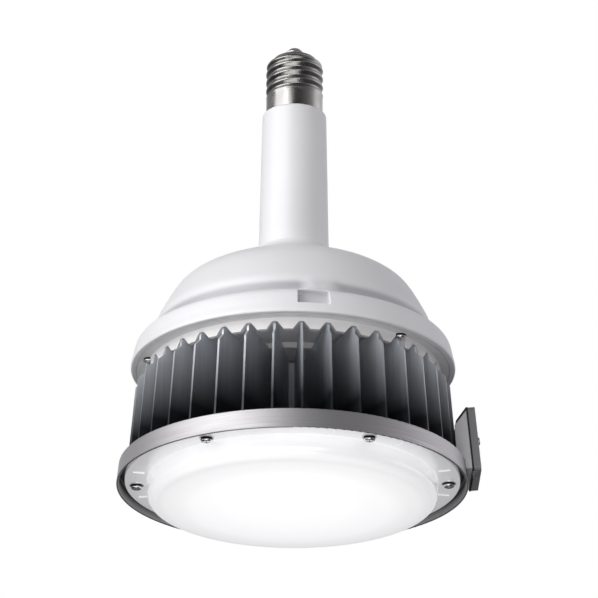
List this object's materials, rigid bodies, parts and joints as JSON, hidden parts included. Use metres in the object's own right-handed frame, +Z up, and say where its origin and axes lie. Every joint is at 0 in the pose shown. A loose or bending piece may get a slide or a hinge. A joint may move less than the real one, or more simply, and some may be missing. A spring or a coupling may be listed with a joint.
{
  "type": "high bay light",
  "caption": "LED high bay lamp: mogul screw base on a long neck, domed driver housing, ring of radial cooling fins, trim ring and round opal lens facing down.",
  "frame": {"origin": "tip of the screw base's centre contact, on the lamp's axis", "axes": "+Z up along the lamp's axis, out of the screw base; the lamp hangs below the origin; the side cover is towards +X; -Y is the front"},
  "size_m": [0.235, 0.2276, 0.3354],
  "materials": {
    "contact_solder": "grainy solder on nickel",
    "vitrite": "pressed glass, opaque",
    "nickel_shell": "rolled nickel plate",
    "white_neck": "satin moulding",
    "white_paint": "satin powder coat",
    "white_moulding": "matte moulding",
    "bare_casting": "shot-blasted casting, bare",
    "ring_finish": "satin silver-grey",
    "opal": "opal, glowing",
    "silicone": "matte",
    "screw_steel": "zinc plate",
    "pad_grey": "matte",
    "board_white": "solder mask",
    "led_yellow": "phosphor",
    "black_rubber": "matte",
    "dark_moulding": "fine texture",
    "clip_steel": "spring steel",
    "board_green": "solder mask",
    "brass_post": "turned",
    "ferrite": "ferrite and tape",
    "sleeve_blue": "shrink sleeve",
    "choke_green": "coated toroid",
    "black_moulding": "epoxy",
    "spreader": "mill",
    "terminal_green": "moulded",
    "lead_white": "silicone sleeve",
    "lead_red": "silicone sleeve"
  },
  "bodies": {
    "root": {"centre_contact": "contact_solder", "base_insulator": "vitrite", "screw_shell": "nickel_shell", "neck_tube": "white_neck", "driver_housing": "white_paint", "driver_tray": "white_moulding", "heat_sink": "bare_casting", "trim_ring": "ring_finish", "lens": "opal", "lens_gasket": "silicone", "lens_washers": "screw_steel", "lens_screws": "screw_steel", "led_pad": "pad_grey", "led_board": "board_white", "led_chips": "led_yellow", "reflector_ring": "white_moulding", "side_mount": "ring_finish", "side_gasket": "black_rubber", "side_cover": "dark_moulding", "side_clip": "clip_steel", "side_screws": "screw_steel", "driver_board": "board_green", "board_posts": "brass_post", "board_screws": "screw_steel", "transformer": "ferrite", "capacitors": "sleeve_blue", "line_choke": "choke_green", "power_switches": "black_moulding", "switch_spreader": "spreader", "terminal_block": "terminal_green", "grommet": "black_rubber", "base_leads": "lead_white", "output_leads": "lead_red", "tray_screws": "screw_steel", "neck_screws": "screw_steel"}
  },
  "joints": []
}
